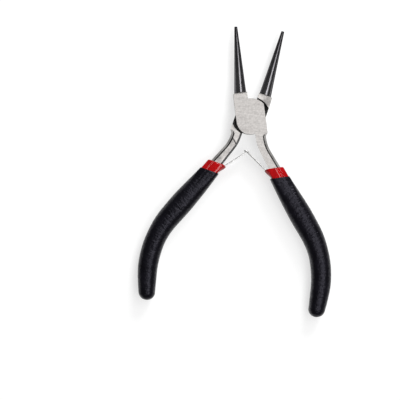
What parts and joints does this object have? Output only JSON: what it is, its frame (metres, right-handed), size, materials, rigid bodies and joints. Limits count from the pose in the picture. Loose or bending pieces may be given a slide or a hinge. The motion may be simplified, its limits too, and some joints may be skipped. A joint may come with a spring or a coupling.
{
  "type": "round nose pliers",
  "caption": "Sprung round nose pliers for jewellery making: slim cone jaws, a flush riveted lap joint, crossed leaf springs and red and black dipped grips, lying open.",
  "frame": {"origin": "on the rivet's axis, in the ground back face of the lap joint", "axes": "+Y along the middle of the tool to the jaw tips, +Z along the rivet out of the front plate, +X to the right seen from the front; stored open, as the leaf springs hold it"},
  "size_m": [0.0808, 0.1175, 0.0112],
  "materials": {
    "forged_steel": "satin ground, with polished cones",
    "spring_steel": "bright strip",
    "red_vinyl": "glossy dipped vinyl",
    "black_vinyl": "dipped vinyl with a soft sheen and a fine leathery surface"
  },
  "bodies": {
    "rear_half": {"rear_lever": "forged_steel", "pivot_rivet": "forged_steel", "rear_leaf_spring": "spring_steel", "rear_leaf_rivet": "spring_steel", "rear_inner_sleeve": "red_vinyl", "rear_outer_grip": "black_vinyl"},
    "front_half": {"front_lever": "forged_steel", "front_leaf_spring": "spring_steel", "front_leaf_rivet": "spring_steel", "front_inner_sleeve": "red_vinyl", "front_outer_grip": "black_vinyl"}
  },
  "joints": [
    {"name": "rivet_hinge", "type": "hinge", "parent": "rear_half", "child": "front_half", "pos_m": [0, 0, 0], "axis": [0, 0, 1], "range_deg": [-28.1, 8], "stiffness_Nm_per_rad": 0.5, "deforming": ["front_leaf_spring", "rear_leaf_spring"]}
  ]
}
